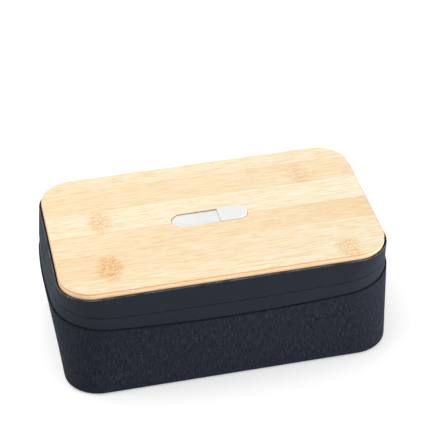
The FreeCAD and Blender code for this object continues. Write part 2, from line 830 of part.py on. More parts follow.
def make_lid_frame():
    body = new_body("lid_frame")
    lower = level(body, "lid_bottom")
    outline_loop(lower, "parting")
    shoulder = level(body, "crown_height - crown_edge_bevel")
    outline_loop(shoulder, "crown")
    upper = level(body, "crown_height")
    outline_loop(upper, "crown", "crown_edge_bevel")
    loft(body, "AdditiveLoft", [lower, shoulder, upper])
    hollow_lower = level(body, "lid_bottom")
    outline_loop(hollow_lower, "parting", "frame_wall")
    hollow_upper = level(body, "lid_ceiling")
    outline_loop(hollow_upper, "crown", "frame_wall")
    loft(body, "SubtractiveLoft", [hollow_lower, hollow_upper])
    # seat of the panel and slot for the controls
    seat = level(body, "crown_height")
    outline_loop(seat, "crown", "crown_lip - panel_gap")
    pocket(body, seat, "panel_thickness - panel_proud")
    slot = level(body, "panel_floor")
    slot_loop(slot, "-slot_length / 2", "slot_length / 2", "slot_width / 2")
    pocket(body, slot, "frame_top + overrun")
    # posts that hang from the top of the frame
    for places, radius, length in (
            (cover_screw_places(), "cover_post_radius", "lid_ceiling - cover_top"),
            (board_post_places(), "board_post_radius", "board_hang"),
            (power_post_places(), "board_post_radius", "board_hang"),
            (strip_post_places(), "strip_post_radius", "strip_hang")):
        posts = level(body, "lid_ceiling")
        circles(posts, places, radius)
        pad(body, posts, length, reverse=True)
    pilots = level(body, "cover_top")
    circles(pilots, cover_screw_places(), "screw_radius + pilot_gap")
    pocket(body, pilots, "screw_length", reverse=True)
    # charging inlet through the back wall
    inlet = level(body, negative("power_board_along"), "XZ_Plane")
    middle = "board_top + inlet_height / 2"
    straight_loop(inlet, "inlet_width / 2 + inlet_gap", "inlet_height / 2 + inlet_gap",
                  "inlet_height / 2 + inlet_gap / 2", "-inlet_across", middle)
    pocket(body, inlet, "parting_half_width - power_board_along + overrun")
    # room for the outer knuckles, then the middle knuckle with its bore
    for start, length in knuckle_ends():
        rod(body, "Pocket", "%s - knuckle_clearance" % start, "%s + 2 * knuckle_clearance" % length,
            "knuckle_radius + knuckle_clearance")
    rod(body, "Pad", "-hinge_middle_length / 2", "hinge_middle_length", "knuckle_radius")
    rod(body, "Pocket", "-hinge_middle_length / 2", "hinge_middle_length + overrun",
        "pin_radius + pin_running_gap")
    return body


def make_bamboo_panel():
    body = new_body("bamboo_panel")
    edge = level(body, "panel_floor")
    outline_loop(edge, "panel")
    slab = pad(body, edge, "panel_thickness")
    fillet(body, slab, edges_at(slab, "total_height"), "panel_edge_round")
    slot = level(body, "total_height")
    slot_loop(slot, "-slot_length / 2", "slot_length / 2", "slot_width / 2")
    pocket(body, slot, "panel_thickness + overrun")
    return body


def make_lid_cover():
    body = new_body("lid_cover")
    edge = level(body, "cover_bottom")
    outline_loop(edge, "parting", "cover_inset")
    pad(body, edge, "cover_thickness")
    for along in strips():
        window = level(body, "cover_top")
        straight_loop(window, "strip_length / 2", "strip_width / 2", "window_corner_radius", "0", along)
        pocket(body, window, "cover_thickness + overrun")
    heads = level(body, "cover_bottom")
    circles(heads, cover_screw_places(), "screw_head_radius + head_gap")
    pocket(body, heads, "screw_head_height", reverse=True)
    holes = level(body, "cover_bottom")
    circles(holes, cover_screw_places(), "screw_radius + passage_gap")
    pocket(body, holes, "cover_thickness + overrun", reverse=True)
    return body


def make_cover_screws():
    seat = "cover_bottom + screw_head_height"
    return make_screws("cover_screws", cover_screw_places(), seat, "screw_head_radius",
                       "screw_head_height", "screw_length", upward=True)


# Controls in the slot

def make_light_bar():
    body = new_body("light_bar")
    left = "-slot_length / 2 + slot_piece_gap"
    right = "button_left - button_split_gap"
    half = "slot_width / 2 - slot_piece_gap"
    bottom = "lid_ceiling - flange_thickness"
    face = level(body, bottom)
    slot_loop(face, left, right, half, round_right=False)
    pad(body, face, "total_height - light_sink - (%s)" % bottom)
    flange = level(body, bottom)
    slot_loop(flange, "%s - flange_width" % left, right, "%s + flange_width" % half, round_right=False)
    pad(body, flange, "flange_thickness")
    return body


def make_start_button():
    body = new_body("start_button")
    left = "button_left"
    right = "slot_length / 2 - slot_piece_gap"
    half = "slot_width / 2 - slot_piece_gap"
    top = "total_height + button_rise"
    face = level(body, "flange_bottom")
    slot_loop(face, left, right, half, round_left=False)
    cap = pad(body, face, "%s - flange_bottom" % top)
    fillet(body, cap, edges_at(cap, top), "button_crown_round")
    flange = level(body, "flange_bottom")
    slot_loop(flange, left, "%s + flange_width" % right, "%s + flange_width" % half, round_left=False)
    pad(body, flange, "flange_thickness")
    return body


def make_control_board():
    return block("control_board", "board_length", "board_width", "board_thickness", "0", "0",
                 "board_top - board_thickness")


def make_tact_switch():
    body = new_body("tact_switch")
    case = level(body, "board_top")
    half = "switch_width / 2"
    straight_loop(case, half, half, "switch_corner_radius", "switch_across")
    pad(body, case, "switch_height")
    bore = level(body, "board_top + switch_height")
    circles(bore, [("switch_across", "0")], "plunger_radius + plunger_gap")
    pocket(body, bore, "switch_height + overrun")
    return body


def make_switch_plunger():
    body = new_body("switch_plunger")
    section = level(body, "flange_bottom")
    circles(section, [("switch_across", "0")], "plunger_radius")
    pad(body, section, "plunger_height", reverse=True)
    return body


def make_status_leds():
    lamps = []
    for index in range(STATUS_LEDS):
        across = "button_left / 2 - slot_length / 4 + %d * status_led_spacing" % (index - STATUS_LEDS // 2)
        lamps.append(block("status_led_%d" % index, "status_led_length", "status_led_width",
                           "status_led_height", across, "0", "board_top"))
    return group("status_leds", lamps)


# Power and ultraviolet strips

def make_battery_pack():
    body = new_body("battery_pack")
    bottom = "lid_ceiling - battery_height"
    edge = level(body, bottom)
    straight_loop(edge, "battery_length / 2", "battery_width / 2", "battery_edge_round", "battery_across")
    pack = pad(body, edge, "battery_height")
    fillet(body, pack, edges_at(pack, bottom), "battery_edge_round")
    return body


def make_power_board():
    return block("power_board", "power_board_length", "power_board_width", "board_thickness",
                 "-inlet_across", "power_board_along", "board_top - board_thickness")


def make_usb_port():
    """A flat oval tube, closed at its inner end."""
    body = new_body("usb_port")
    mouth_along = "parting_half_width - frame_wall - inlet_sink"
    inner_end = "%s - inlet_depth" % mouth_along
    middle = "board_top + inlet_height / 2"
    shell = level(body, negative(inner_end), "XZ_Plane")
    straight_loop(shell, "inlet_width / 2", "inlet_height / 2", "inlet_height / 2 - inlet_gap / 2",
                  "-inlet_across", middle)
    pad(body, shell, "inlet_depth", reverse=True)
    hollow = level(body, negative(mouth_along), "XZ_Plane")
    straight_loop(hollow, "inlet_width / 2 - inlet_wall", "inlet_height / 2 - inlet_wall",
                  "inlet_height / 2 - inlet_wall - inlet_gap / 2", "-inlet_across", middle)
    pocket(body, hollow, "inlet_depth - inlet_wall", reverse=True)
    return body


def make_uv_boards():
    boards = []
    for index, along in enumerate(strips()):
        boards.append(block("uv_board_%d" % index, "strip_length", "strip_width", "board_thickness",
                            "0", along, "strip_bottom"))
    return group("uv_boards", boards)


def make_uv_leds():
    lamps = []
    for along in strips():
        for index in range(UV_LEDS_PER_STRIP):
            across = "%d * uv_led_spacing / 2" % (2 * index - UV_LEDS_PER_STRIP + 1)
            lamps.append(block("uv_led_%d" % len(lamps), "uv_led_size", "uv_led_size", "uv_led_height",
                               across, along, "strip_bottom - uv_led_height"))
    return group("uv_leds", lamps)


def make_uv_windows():
    body = new_body("uv_windows")
    for along in strips():
        pane = level(body, "cover_top")
        straight_loop(pane, "strip_length / 2 + window_border", "strip_width / 2 + window_border",
                      "window_corner_radius", "0", along)
        pad(body, pane, "window_thickness")
    return body


def make_lid_magnets():
    return make_magnets("lid_magnets", magnet_places(), "cover_top")


def make_reed_switch():
    return block("reed_switch", "reed_length", "reed_width", "reed_height",
                 "0", negative("magnet_along"), "cover_top")


# Build everything, check it and write one file for each piece

parts = [
    make_fabric_sleeve(), make_base_shell(), make_base_plate(), make_rubber_feet(), make_base_screws(),
    make_rim_collar(), make_collar_screws(), make_hinge_pin(), make_lid_seal(), *make_base_magnets(),
    make_chamber_liner(), make_lid_frame(), make_bamboo_panel(), make_lid_cover(), make_cover_screws(),
    make_light_bar(), make_start_button(), make_control_board(), make_tact_switch(), make_switch_plunger(),
    make_status_leds(), make_battery_pack(), make_power_board(), make_usb_port(), make_uv_boards(),
    make_uv_leds(), make_uv_windows(), make_lid_magnets(), make_reed_switch(),
]
document.recompute()

for item in document.Objects:
    faults = [word for word in item.State if word in ("Invalid", "Error")]
    if faults:
        raise RuntimeError("%s is not built: %s" % (item.Name, faults))
for part in parts:
    if part.Shape.isNull() or not part.Shape.isValid() or part.Shape.Volume <= 0:
        raise RuntimeError("%s has no valid solid" % part.Label)

os.makedirs("parts", exist_ok=True)
for part in parts:
    part.Shape.exportStep("parts/%s.step" % part.Label)
    print("%-18s solids %2d volume %9.1f" % (part.Label, len(part.Shape.Solids), part.Shape.Volume))
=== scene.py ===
import json
import math

import bpy
from mathutils import Matrix, Vector


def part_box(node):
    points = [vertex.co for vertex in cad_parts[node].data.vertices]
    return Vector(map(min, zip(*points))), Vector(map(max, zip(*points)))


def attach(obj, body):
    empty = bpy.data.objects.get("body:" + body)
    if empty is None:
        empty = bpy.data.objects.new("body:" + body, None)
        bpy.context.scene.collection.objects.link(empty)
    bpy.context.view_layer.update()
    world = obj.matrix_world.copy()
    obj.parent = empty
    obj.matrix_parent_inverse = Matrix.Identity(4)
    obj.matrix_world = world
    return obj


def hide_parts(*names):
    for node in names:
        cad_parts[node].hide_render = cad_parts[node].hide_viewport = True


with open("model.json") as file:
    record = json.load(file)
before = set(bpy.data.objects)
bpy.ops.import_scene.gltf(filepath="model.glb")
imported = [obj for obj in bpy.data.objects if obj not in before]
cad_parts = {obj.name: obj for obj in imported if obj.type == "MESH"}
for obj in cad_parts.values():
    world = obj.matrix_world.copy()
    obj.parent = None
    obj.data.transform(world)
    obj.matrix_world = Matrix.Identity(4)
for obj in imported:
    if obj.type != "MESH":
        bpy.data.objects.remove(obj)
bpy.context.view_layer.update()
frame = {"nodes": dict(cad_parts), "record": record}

# Sizes in metres, the same as in the part's source where they share a name

MM = 0.001

# wood of the lid
PANEL_HALF_LENGTH, PANEL_HALF_WIDTH, PANEL_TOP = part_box("bamboo_panel")[1]
# depth under the top face and width of the line of painted shade on the rounded top edge; the pale core of
# the edge begins under it
EDGE_SHADE_DEPTH = 0.6 * MM
EDGE_SHADE_WIDTH = 0.6 * MM
GLUE_LINE_WIDTH = 0.8 * MM
FIBRE_WIDTH = 0.85 * MM
FIBRE_LENGTH = 18.0 * MM
VEIN_WIDTH = 2.8 * MM
VEIN_LENGTH = 80.0 * MM
DASH_WIDTH = 0.7 * MM
DASH_LENGTH = 11.0 * MM
FLECK_WIDTH = 1.3 * MM
FLECK_LENGTH = 2.8 * MM
JOINT_REACH = (11.0 * MM, 17.0 * MM, 11.0 * MM)
WOOD_GRAIN_DEPTH = 0.05 * MM

# cloth of the base
SLEEVE_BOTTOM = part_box("fabric_sleeve")[0][2]
RIM_HALF_LENGTH, RIM_HALF_WIDTH, SLEEVE_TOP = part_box("fabric_sleeve")[1]
RIM_CORNER_RADIUS = 42.0 * MM
RIM_LONG_BOW = 870.0 * MM
RIM_SHORT_BOW = 345.0 * MM
COLLAR_SLOPE = 2.4 * MM
FOOT_DRAW = 3.1 * MM
FOOT_HALF_LENGTH = RIM_HALF_LENGTH - COLLAR_SLOPE - FOOT_DRAW
FOOT_HALF_WIDTH = RIM_HALF_WIDTH - COLLAR_SLOPE - FOOT_DRAW
FOOT_CORNER_RADIUS = 26.0 * MM
SLEEVE_THICKNESS = 1.2 * MM
SLEEVE_EDGE_ROUND = 2.0 * MM
HEM_WIDTH = 14.0 * MM
YARN_WIDTH = 0.5 * MM
YARN_DEPTH = 0.12 * MM
SLUB_WIDTH = 0.75 * MM
SLUB_LENGTH = 6.5 * MM
YARN_LENGTH = SLUB_LENGTH / 3

# seam at the middle of the back, with its stitches
SEAM_HALF_WIDTH = 5.0 * MM
SEAM_RISE = 0.35 * MM
SEAM_UNDER_SHARE = 0.5
STITCH_LENGTH = 2.4 * MM
STITCH_PITCH = 3.4 * MM
STITCH_RADIUS = 0.28 * MM
STITCH_END_SHARE = 0.35
STITCH_RISE_SHARE = 0.5
STITCH_OFFSET = 3.2 * MM

# crown of the lid frame, which goes round the wood
CROWN_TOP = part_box("lid_frame")[1][2]
CROWN_EDGE_BEVEL = 0.5 * MM
# painted highlight on the crown's bevel: how fast it fades at its edges and how long its patches are
HIGHLIGHT_FADE = 0.1 * MM
HIGHLIGHT_PATCH_LENGTH = 14.0 * MM

# textures of the mouldings, metals and boards
DARK_GRAIN = 0.22 * MM
WHITE_GRAIN = 0.25 * MM
RUBBER_GRAIN = 0.3 * MM
CHIP_GRAIN = 0.1 * MM
LAMP_GRAIN = 0.3 * MM
THREAD_GRAIN = 0.2 * MM
GRAIN_DEPTH_SHARE = 0.3
GRAINS_PER_MOTTLE = 40
CHAMBER_LINE = 0.3 * MM
STEEL_LINE = 0.1 * MM
NICKEL_LINE = 0.2 * MM
WRAP_LINE = 0.5 * MM
INLET_LINE = 0.15 * MM
LINE_DEPTH_SHARE = 0.2
WIDTHS_PER_LINE = 20
TRACK_LENGTH = 9.0 * MM
TRACK_PITCH = 3.0 * MM
TRACK_DEPTH = 0.05 * MM
SMEAR_LENGTH = 12.0 * MM
SMEAR_WIDTH = 8.0 * MM
DIFFUSER_DEPTH = 2.0 * MM


# Shader graphs

class Graph:
    """One material and short ways to add nodes to it."""

    def __init__(self, name):
        self.material = bpy.data.materials.new(name)
        self.material.use_nodes = True
        self.tree = self.material.node_tree
        self.shader = self.tree.nodes["Principled BSDF"]
        self.colour = None

    def node(self, kind, inputs=(), **settings):
        made = self.tree.nodes.new("ShaderNode" + kind)
        for key, setting in settings.items():
            setattr(made, key, setting)
        for key, source in dict(inputs).items():
            self.feed(made.inputs[key], source)
        return made

    def feed(self, socket, source):
        if isinstance(source, bpy.types.NodeSocket):
            self.tree.links.new(source, socket)
        else:
            socket.default_value = source

    def set(self, **inputs):
        """Feed the main shader; underscores in the names stand for spaces."""
        for key, source in inputs.items():
            self.feed(self.shader.inputs[key.replace("_", " ")], source)

    def place(self):
        return self.node("TexCoord").outputs["Object"]

    def scaled(self, vector, sizes):
        """Divide a place by a size along each axis."""
        scale = [1 / size for size in sizes]
        return self.node("Mapping", {"Vector": vector, "Scale": scale}).outputs["Vector"]

    def noise(self, vector, detail=3.0, roughness=0.5, distortion=0.0):
        inputs = {"Vector": vector, "Scale": 1.0, "Detail": detail}
        inputs.update({"Roughness": roughness, "Distortion": distortion})
        return self.node("TexNoise", inputs).outputs["Fac"]

    def ramp(self, factor, stops, steps="LINEAR"):
        made = self.node("ValToRGB", {"Fac": factor})
        made.color_ramp.interpolation = steps
        elements = made.color_ramp.elements
        while len(elements) < len(stops):
            elements.new(1.0)
        for element, (position, colour) in zip(elements, stops):
            element.position = position
            element.color = rgba(*colour) if hasattr(colour, "__len__") else rgba(colour, colour, colour)
        return made.outputs["Color"]

    def math(self, operation, first, second=0.0, clamp=False):
        made = self.node("Math", operation=operation, use_clamp=clamp)
        self.feed(made.inputs[0], first)
        self.feed(made.inputs[1], second)
        return made.outputs["Value"]

    def mix(self, factor, first, second, blend="MIX"):
        made = self.node("Mix", data_type="RGBA", blend_type=blend)
        # its colours are inputs 6 and 7 and output 2
        self.feed(made.inputs["Factor"], factor)
        self.feed(made.inputs[6], first)
        self.feed(made.inputs[7], second)
        return made.outputs[2]

    def bump(self, height, strength, distance):
        inputs = {"Height": height, "Strength": strength, "Distance": distance}
        return self.node("Bump", inputs).outputs["Normal"]

    def split(self, vector):
        return self.node("SeparateXYZ", {"Vector": vector}).outputs

    def join(self, x=0.0, y=0.0, z=0.0):
        return self.node("CombineXYZ", {"X": x, "Y": y, "Z": z}).outputs["Vector"]


def rgba(red, green, blue):
    return (red, green, blue, 1.0)


# Bamboo: glued strips with fibres, flecked joints of the cane and an edge with a pale core and a line of
# painted shade

PALE_BAMBOO = (0.948, 0.900, 0.738)
HONEY_BAMBOO = (0.910, 0.724, 0.494)
# front edge of each strip as a share of the half width, then its share of honey at each end
STRIP_SHARES = (
    (-1.0, 0.62, 0.27),
    (-0.778, 1.0, 0.27),
    (-0.375, 0.69, 0.95),
    (-0.029, 0.34, 0.0),
    (0.375, 0.82, 0.66),
    (0.749, 0.58, 0.31),
)
# middle of each joint of the cane as shares of the half sizes, the lean of its flecks, its darkness
JOINT_SHARES = (
    (-0.674, 0.179, 0.5, 0.60),
    (-0.683, -0.615, 0.7, 0.86),
    (0.649, 0.532, -0.6, 0.35),
    (0.757, -0.865, -0.8, 0.48),
)


def strip_steps(graph, y, shares):
    """A share for each strip, in steps from the front of the panel to the back."""
    place = graph.math("ADD", y, PANEL_HALF_WIDTH)
    place = graph.math("DIVIDE", place, 2 * PANEL_HALF_WIDTH, clamp=True)
    edges = [(1 + strip[0]) / 2 for strip in STRIP_SHARES]
    return graph.ramp(place, list(zip(edges, shares)), "CONSTANT")


def near_joint(graph, place, centre, strength):
    """How strongly a joint of the cane marks a place."""
    offset = graph.node("VectorMath", {0: place, 1: centre}, operation="SUBTRACT").outputs["Vector"]
    offset = graph.scaled(offset, JOINT_REACH)
    reach = graph.node("VectorMath", {0: offset}, operation="LENGTH").outputs["Value"]
    near = graph.math("MULTIPLY", graph.math("SUBTRACT", 1.0, reach), 2.0, clamp=True)
    return graph.math("MULTIPLY", near, strength)


def joint_flecks(graph, x, y, centre, lean):
    """Flecks that lean away from the middle line of a joint."""
    along = graph.math("SUBTRACT", x, centre[0])
    slanted = graph.math("SUBTRACT", y, graph.math("MULTIPLY", graph.math("ABSOLUTE", along), lean))
    lined = graph.scaled(graph.join(along, slanted), (FLECK_LENGTH, FLECK_WIDTH, FLECK_WIDTH))
    fleck = graph.noise(lined, 2.0, 0.6, 0.5)
    return graph.ramp(fleck, ((0.47, 0.0), (0.54, 0.5), (0.60, 1.0)))


def bamboo():
    graph = Graph("bamboo")
    place = graph.place()
    x, y, z = graph.split(place)
    fronts, left_shares, right_shares = zip(*STRIP_SHARES)
    across = graph.math("ADD", x, PANEL_HALF_LENGTH)
    across = graph.math("DIVIDE", across, 2 * PANEL_HALF_LENGTH, clamp=True)
    honey = graph.mix(across, strip_steps(graph, y, left_shares), strip_steps(graph, y, right_shares))
    colour = graph.mix(honey, rgba(*PALE_BAMBOO), rgba(*HONEY_BAMBOO))
    # each strip has its own stretch of fibre
    shares = [index / len(fronts) for index in range(len(fronts))]
    shift = graph.join(strip_steps(graph, y, shares), 0.0, strip_steps(graph, y, shares[::-1]))
    shifted = graph.node("VectorMath", {0: place, 1: shift}, operation="ADD").outputs["Vector"]
    fibre = graph.noise(graph.scaled(shifted, (FIBRE_LENGTH, FIBRE_WIDTH, FIBRE_WIDTH)), 3.0, 0.6)
    vein = graph.noise(graph.scaled(shifted, (VEIN_LENGTH, VEIN_WIDTH, VEIN_WIDTH)), 3.0, 0.55, 0.15)
    veins = graph.ramp(vein, (
        (0.35, (0.98, 0.95, 0.91)),
        (0.55, (1.0, 1.0, 1.0)),
        (0.75, (1.01, 1.02, 1.03)),
    ))
    colour = graph.mix(1.0, colour, veins, "MULTIPLY")
    fibres = graph.ramp(fibre, (
        (0.30, (0.935, 0.79, 0.52)),
        (0.47, (0.975, 0.935, 0.815)),
        (0.60, (1.0, 1.0, 1.0)),
    ))
    colour = graph.mix(1.0, colour, fibres, "MULTIPLY")
    dash = graph.noise(graph.scaled(shifted, (DASH_LENGTH, DASH_WIDTH, DASH_WIDTH)), 2.0, 0.5)
    dashes = graph.ramp(dash, ((0.55, 0.0), (0.68, 1.0)))
    colour = graph.mix(graph.math("MULTIPLY", dashes, 0.60), colour, rgba(0.80, 0.48, 0.22))
    # joints of the cane: an orange patch with brown flecks
    for along_share, across_share, lean, strength in JOINT_SHARES:
        centre = (along_share * PANEL_HALF_LENGTH, across_share * PANEL_HALF_WIDTH, PANEL_TOP)
        near = near_joint(graph, place, centre, strength)
        tinted = graph.mix(1.0, colour, rgba(0.99, 0.87, 0.71), "MULTIPLY")
        colour = graph.mix(near, colour, tinted)
        flecks = graph.math("MULTIPLY", near, joint_flecks(graph, x, y, centre, lean))
        colour = graph.mix(flecks, colour, rgba(0.70, 0.31, 0.11))
    # glue lines between the strips, darker in some stretches than in others
    stretch = graph.noise(graph.scaled(place, (FIBRE_LENGTH, VEIN_LENGTH, VEIN_LENGTH)))
    darkness = graph.ramp(stretch, ((0.40, 0.0), (0.65, 0.55)))
    for front in fronts[1:]:
        gap = graph.math("ABSOLUTE", graph.math("SUBTRACT", y, front * PANEL_HALF_WIDTH))
        line = graph.math("SUBTRACT", 1.0, graph.math("DIVIDE", gap, GLUE_LINE_WIDTH), clamp=True)
        colour = graph.mix(graph.math("MULTIPLY", line, darkness), colour, rgba(0.80, 0.45, 0.20))
    # edge: a pale core, and a brown line of painted shade along the rounded top edge
    under = graph.math("SUBTRACT", PANEL_TOP - EDGE_SHADE_DEPTH, z)
    core = graph.math("DIVIDE", under, EDGE_SHADE_WIDTH, clamp=True)
    colour = graph.mix(core, colour, graph.mix(1.0, rgba(0.90, 0.645, 0.430), fibres, "MULTIPLY"))
    # painted shade: a brown line where the rounded top edge turns down
    gap = graph.math("ABSOLUTE", under)
    painted_edge_shade = graph.math("SUBTRACT", 1.0, graph.math("DIVIDE", gap, EDGE_SHADE_WIDTH), clamp=True)
    painted_edge_shade = graph.math("MULTIPLY", painted_edge_shade, 2.0, clamp=True)
    colour = graph.mix(graph.math("MULTIPLY", painted_edge_shade, 0.9), colour, rgba(0.64, 0.33, 0.15))
    graph.set(Base_Color=colour)
    graph.set(Roughness=graph.ramp(fibre, ((0.3, 0.55), (0.7, 0.42))), Specular_IOR_Level=0.3)
    graph.set(Normal=graph.bump(graph.mix(0.5, fibre, vein), 0.25, WOOD_GRAIN_DEPTH))
    return graph.material


# Cloth: two-tone yarns with slubs along the height of the sleeve

def cloth():
    graph = Graph("charcoal_cloth")
    around = graph.node("UVMap", uv_map="cloth").outputs["UV"]
    slub = graph.noise(graph.scaled(around, (SLUB_WIDTH, SLUB_LENGTH, SLUB_WIDTH)), 3.0, 0.6, 0.3)
    thread = graph.noise(graph.scaled(around, (YARN_WIDTH, YARN_LENGTH, YARN_WIDTH)), 2.0, 0.6)
    cross = graph.noise(graph.scaled(around, (YARN_LENGTH, YARN_WIDTH, YARN_WIDTH)), 2.0, 0.6)
    heather = graph.math("ADD", graph.math("MULTIPLY", slub, 0.45), graph.math("MULTIPLY", thread, 0.35))
    heather = graph.math("ADD", heather, graph.math("MULTIPLY", cross, 0.20))
    colour = graph.ramp(heather, (
        (0.36, (0.0027, 0.0043, 0.0092)),
        (0.47, (0.0092, 0.0116, 0.0195)),
        (0.56, (0.0180, 0.0207, 0.0320)),
        (0.68, (0.050, 0.053, 0.071)),
    ))
    graph.set(Base_Color=colour)
    # plain weave: warp and weft pass over each other in turn
    place = graph.split(around)
    warp = graph.math("SINE", graph.math("MULTIPLY", place["X"], math.pi / YARN_WIDTH))
    weft = graph.math("SINE", graph.math("MULTIPLY", place["Y"], math.pi / YARN_WIDTH))
    weave = graph.math("ABSOLUTE", graph.math("MULTIPLY", warp, weft))
    height = graph.math("ADD", weave, graph.math("MULTIPLY", slub, 1.2))
    graph.set(Normal=graph.bump(height, 0.6, YARN_DEPTH))
    graph.set(Roughness=graph.ramp(heather, ((0.4, 0.95), (0.65, 0.80))), Specular_IOR_Level=0.08)
    graph.set(Sheen_Weight=0.03, Sheen_Roughness=0.5)
    return graph.material


# Mouldings, rubbers, metals and electronic pieces

def moulding(name, colour, roughness, grain, level=0.5, bump=0.15, mottle=0.12):
    """A moulded surface with fine texture, faint mottling and uneven gloss."""
    graph = Graph(name)
    place = graph.place()
    fine = graph.noise(graph.scaled(place, (grain, grain, grain)), 2.0, 0.6)
    mottle_size = GRAINS_PER_MOTTLE * grain
    broad = graph.noise(graph.scaled(place, (mottle_size, mottle_size, mottle_size)), 3.0, 0.6)
    darker = [(1 - mottle) * channel for channel in colour]
    lighter = [min(1.0, (1 + mottle) * channel) for channel in colour]
    graph.colour = graph.ramp(broad, ((0.3, darker), (0.7, lighter)))
    graph.set(Base_Color=graph.colour)
    graph.set(Roughness=graph.ramp(broad, ((0.3, roughness * 0.92), (0.7, min(1.0, roughness * 1.08)))))
    graph.set(Specular_IOR_Level=level)
    graph.set(Normal=graph.bump(fine, bump, GRAIN_DEPTH_SHARE * grain))
    return graph


def metal(name, colour, roughness, width):
    """A metal with fine lines drawn along X."""
    graph = Graph(name)
    lines = graph.noise(graph.scaled(graph.place(), (WIDTHS_PER_LINE * width, width, width)), 4.0, 0.6)
    darker = [0.85 * channel for channel in colour]
    graph.set(Base_Color=graph.ramp(lines, ((0.3, darker), (0.7, colour))))
    graph.set(Metallic=1.0)
    graph.set(Roughness=graph.ramp(lines, ((0.3, roughness * 0.8), (0.7, roughness * 1.2))))
    graph.set(Normal=graph.bump(lines, 0.1, LINE_DEPTH_SHARE * width))
    return graph


def circuit(name, mask, copper):
    """Solder mask over crossing tracks."""
    graph = Graph(name)
    place = graph.scaled(graph.place(), (TRACK_LENGTH, TRACK_PITCH, TRACK_PITCH))
    darker = [0.8 * channel for channel in mask]
    inputs = {"Vector": place, "Scale": 1.0, "Mortar Size": 0.04}
    inputs.update({"Color1": rgba(*mask), "Color2": rgba(*darker), "Mortar": rgba(*copper)})
    tracks = graph.node("TexBrick", inputs).outputs
    graph.set(Base_Color=tracks["Color"])
    graph.set(Roughness=graph.ramp(tracks["Fac"], ((0.0, 0.35), (1.0, 0.25))))
    graph.set(Normal=graph.bump(tracks["Fac"], 0.3, TRACK_DEPTH))
    return graph


def diffuser():
    """Milky cover of the status light."""
    graph = moulding("light_diffuser", (0.79, 0.80, 0.79), 0.34, WHITE_GRAIN, 0.4, 0.05, 0.02)
    graph.set(Subsurface_Weight=0.25, Subsurface_Scale=DIFFUSER_DEPTH)
    return graph


def dark_moulding():
    """Satin moulding, with a paler painted highlight in patches along the bevel of the edge that goes
    round the wood.
    """
    graph = moulding("dark_moulding", (0.0135, 0.0170, 0.0240), 0.70, DARK_GRAIN, 0.12, 0.10)
    place = graph.place()
    height = graph.split(place)["Z"]
    above = graph.math("SUBTRACT", height, CROWN_TOP - CROWN_EDGE_BEVEL)
    high = graph.math("DIVIDE", above, HIGHLIGHT_FADE, clamp=True)
    under = graph.math("DIVIDE", graph.math("SUBTRACT", CROWN_TOP, height), HIGHLIGHT_FADE, clamp=True)
    bevel = graph.math("MULTIPLY", high, under)
    # painted highlight: a paler grey in patches on the bevel, where light would catch the edge
    highlight_patches = graph.noise(graph.scaled(place, (HIGHLIGHT_PATCH_LENGTH, HIGHLIGHT_PATCH_LENGTH, HIGHLIGHT_PATCH_LENGTH)))
    painted_highlight = graph.math("MULTIPLY", bevel, graph.ramp(highlight_patches, ((0.40, 0.15), (0.65, 0.95))))
    graph.set(Base_Color=graph.mix(painted_highlight, graph.colour, rgba(0.190, 0.206, 0.227)))
    graph.set(Specular_Tint=rgba(0.82, 0.92, 1.0))
    return graph


def clear_pane():
    """Clear window with faint smears."""
    graph = Graph("clear_pane")
    smear = graph.noise(graph.scaled(graph.place(), (SMEAR_LENGTH, SMEAR_WIDTH, SMEAR_WIDTH)), 4.0, 0.6)
    graph.set(Base_Color=rgba(0.95, 0.97, 0.98), IOR=1.46, Transmission_Weight=1.0)
    graph.set(Roughness=graph.ramp(smear, ((0.4, 0.02), (0.7, 0.09))))
    return graph


def white_moulding():
    """Smooth white moulding of the button and the inner cover."""
    return moulding("white_moulding", (0.78, 0.79, 0.76), 0.38, WHITE_GRAIN, 0.45, 0.05, 0.02)


FINISHES = {
    "bamboo": bamboo(),
    "dark_moulding": dark_moulding().material,
    "charcoal_cloth": cloth(),
    "white_moulding": white_moulding().material,
    "light_diffuser": diffuser().material,
    "chamber_metal": metal("chamber_metal", (0.82, 0.83, 0.85), 0.22, CHAMBER_LINE).material,
    "silicone": moulding("silicone", (0.10, 0.10, 0.11), 0.6, RUBBER_GRAIN, 0.3).material,
    "foot_rubber": moulding("foot_rubber", (0.03, 0.03, 0.03), 0.8, RUBBER_GRAIN, 0.3, 0.3).material,
    "screw_steel": metal("screw_steel", (0.55, 0.55, 0.57), 0.35, STEEL_LINE).material,
    "pin_steel": metal("pin_steel", (0.68, 0.68, 0.70), 0.25, STEEL_LINE).material,
    "magnet_nickel": metal("magnet_nickel", (0.75, 0.73, 0.70), 0.2, NICKEL_LINE).material,
    "circuit": circuit("circuit", (0.02, 0.16, 0.07), (0.05, 0.30, 0.13)).material,
    "lamp_board": circuit("lamp_board", (0.80, 0.80, 0.77), (0.70, 0.70, 0.66)).material,
    "chip_black": moulding("chip_black", (0.02, 0.02, 0.02), 0.5, CHIP_GRAIN).material,
    "lamp_chip": moulding("lamp_chip", (0.85, 0.74, 0.36), 0.25, LAMP_GRAIN, 0.5, 0.1).material,
    "clear_pane": clear_pane().material,
    "cell_wrap": metal("cell_wrap", (0.62, 0.64, 0.67), 0.4, WRAP_LINE).material,
    "inlet_metal": metal("inlet_metal", (0.62, 0.62, 0.63), 0.3, INLET_LINE).material,
}

for part in frame["record"]["subparts"]:
    for slot in frame["nodes"][part["node"]].material_slots:
        slot.material = FINISHES[part["material_slot"]]


# Cloth sleeve, a closed skin whose profile runs down the wall, under the base and back up inside

LONG_STEPS = 90
SHORT_STEPS = 56
CORNER_STEPS = 28
WALL_ROWS = 46
ROUND_ROWS = 8
HEM_ROWS = 6
TOP_ROWS = 6


def arc_points(centre, radius, start, end, steps):
    across, up = centre
    points = []
    for index in range(steps):
        angle = start + (end - start) * index / steps
        points.append(Vector((across + radius * math.cos(angle), up + radius * math.sin(angle))))
    return points


def line_points(start, end, steps):
    return [Vector(start).lerp(Vector(end), index / steps) for index in range(steps)]


